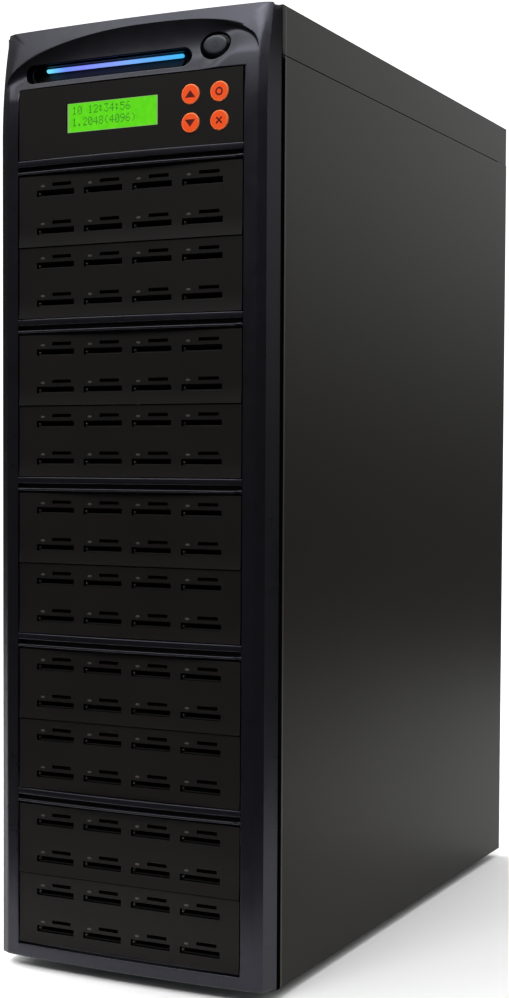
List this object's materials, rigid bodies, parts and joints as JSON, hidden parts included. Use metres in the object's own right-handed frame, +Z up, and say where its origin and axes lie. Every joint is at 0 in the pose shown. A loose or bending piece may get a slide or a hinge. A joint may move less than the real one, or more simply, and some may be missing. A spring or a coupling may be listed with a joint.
{
  "type": "memory card duplicator tower",
  "caption": "Black steel tower with a glossy crowned bezel, a lit slot, a small display with four keys and card reader plates",
  "frame": {"origin": "on the ground under the middle of the whole tower", "axes": "+X to the right seen from the front, +Y from the front to the back, +Z up"},
  "size_m": [0.184, 0.432, 0.565],
  "materials": {
    "bezel_plastic": "glossy black",
    "smoked_plastic": "glossy smoked black",
    "light": "glowing cyan to violet",
    "board": "green circuit board",
    "button_plastic": "glossy black",
    "socket_plastic": "black",
    "plate_plastic": "satin black",
    "display": "lit lime green",
    "key_plastic": "orange",
    "lamp": "clear lamps, not lit",
    "case_paint": "fine satin black paint",
    "plated_steel": "zinc plated",
    "supply_steel": "zinc plated",
    "inlet_plastic": "black",
    "fan_plastic": "black",
    "foot_rubber": "black",
    "screw_steel": "nickel plated"
  },
  "bodies": {
    "case": {"front_bezel": "bezel_plastic", "light_tray": "smoked_plastic", "light_bar": "light", "light_board": "board", "key_board": "board", "control_board": "board", "reader_boards_1": "board", "reader_boards_2": "board", "reader_boards_3": "board", "reader_boards_4": "board", "reader_boards_5": "board", "power_switch": "socket_plastic", "key_switches": "socket_plastic", "lcd_module": "socket_plastic", "card_sockets_1": "socket_plastic", "card_sockets_2": "socket_plastic", "card_sockets_3": "socket_plastic", "card_sockets_4": "socket_plastic", "card_sockets_5": "socket_plastic", "control_panel": "plate_plastic", "reader_panel_01": "plate_plastic", "reader_panel_02": "plate_plastic", "reader_panel_03": "plate_plastic", "reader_panel_04": "plate_plastic", "reader_panel_05": "plate_plastic", "reader_panel_06": "plate_plastic", "reader_panel_07": "plate_plastic", "reader_panel_08": "plate_plastic", "reader_panel_09": "plate_plastic", "reader_panel_10": "plate_plastic", "lcd_window": "display", "status_lights": "lamp", "top_cover": "case_paint", "left_side_panel": "case_paint", "right_side_panel": "case_paint", "base_pan": "plated_steel", "front_frame": "plated_steel", "rear_panel": "plated_steel", "bay_walls": "plated_steel", "control_sled": "plated_steel", "reader_sled_1": "plated_steel", "reader_sled_2": "plated_steel", "reader_sled_3": "plated_steel", "reader_sled_4": "plated_steel", "reader_sled_5": "plated_steel", "power_supply": "supply_steel", "mains_inlet": "inlet_plastic", "exhaust_fan_frames": "fan_plastic", "feet": "foot_rubber", "rear_screws": "screw_steel", "thumb_screws": "screw_steel"},
    "power_button_body": {"power_button": "button_plastic"},
    "up_key_body": {"up_key": "key_plastic"},
    "down_key_body": {"down_key": "key_plastic"},
    "enter_key_body": {"enter_key": "key_plastic"},
    "escape_key_body": {"escape_key": "key_plastic"},
    "supply_switch_body": {"supply_switch": "inlet_plastic"},
    "supply_fan_body": {"supply_fan": "fan_plastic"},
    "upper_fan_body": {"upper_fan_rotor": "fan_plastic"},
    "lower_fan_body": {"lower_fan_rotor": "fan_plastic"}
  },
  "joints": [
    {"name": "power_button_press", "type": "slide", "parent": "case", "child": "power_button_body", "axis": [0, 1, 0], "range_m": [0, 0.0015], "stiffness_N_per_m": 500, "springref_m": -0.0008},
    {"name": "up_key_press", "type": "slide", "parent": "case", "child": "up_key_body", "axis": [0, 1, 0], "range_m": [0, 0.0008], "stiffness_N_per_m": 400, "springref_m": -0.00075},
    {"name": "down_key_press", "type": "slide", "parent": "case", "child": "down_key_body", "axis": [0, 1, 0], "range_m": [0, 0.0008], "stiffness_N_per_m": 400, "springref_m": -0.00075},
    {"name": "enter_key_press", "type": "slide", "parent": "case", "child": "enter_key_body", "axis": [0, 1, 0], "range_m": [0, 0.0008], "stiffness_N_per_m": 400, "springref_m": -0.00075},
    {"name": "escape_key_press", "type": "slide", "parent": "case", "child": "escape_key_body", "axis": [0, 1, 0], "range_m": [0, 0.0008], "stiffness_N_per_m": 400, "springref_m": -0.00075},
    {"name": "supply_switch_tip", "type": "hinge", "parent": "case", "child": "supply_switch_body", "pos_m": [0.042, 0.206, 0.488], "axis": [1, 0, 0], "range_deg": [0, 14]},
    {"name": "supply_fan_turn", "type": "hinge", "parent": "case", "child": "supply_fan_body", "pos_m": [-0.026, 0.18, 0.505], "axis": [0, 1, 0], "continuous": true},
    {"name": "upper_fan_turn", "type": "hinge", "parent": "case", "child": "upper_fan_body", "pos_m": [-0.01, 0.18, 0.4], "axis": [0, 1, 0], "continuous": true},
    {"name": "lower_fan_turn", "type": "hinge", "parent": "case", "child": "lower_fan_body", "pos_m": [-0.01, 0.18, 0.3], "axis": [0, 1, 0], "continuous": true}
  ]
}
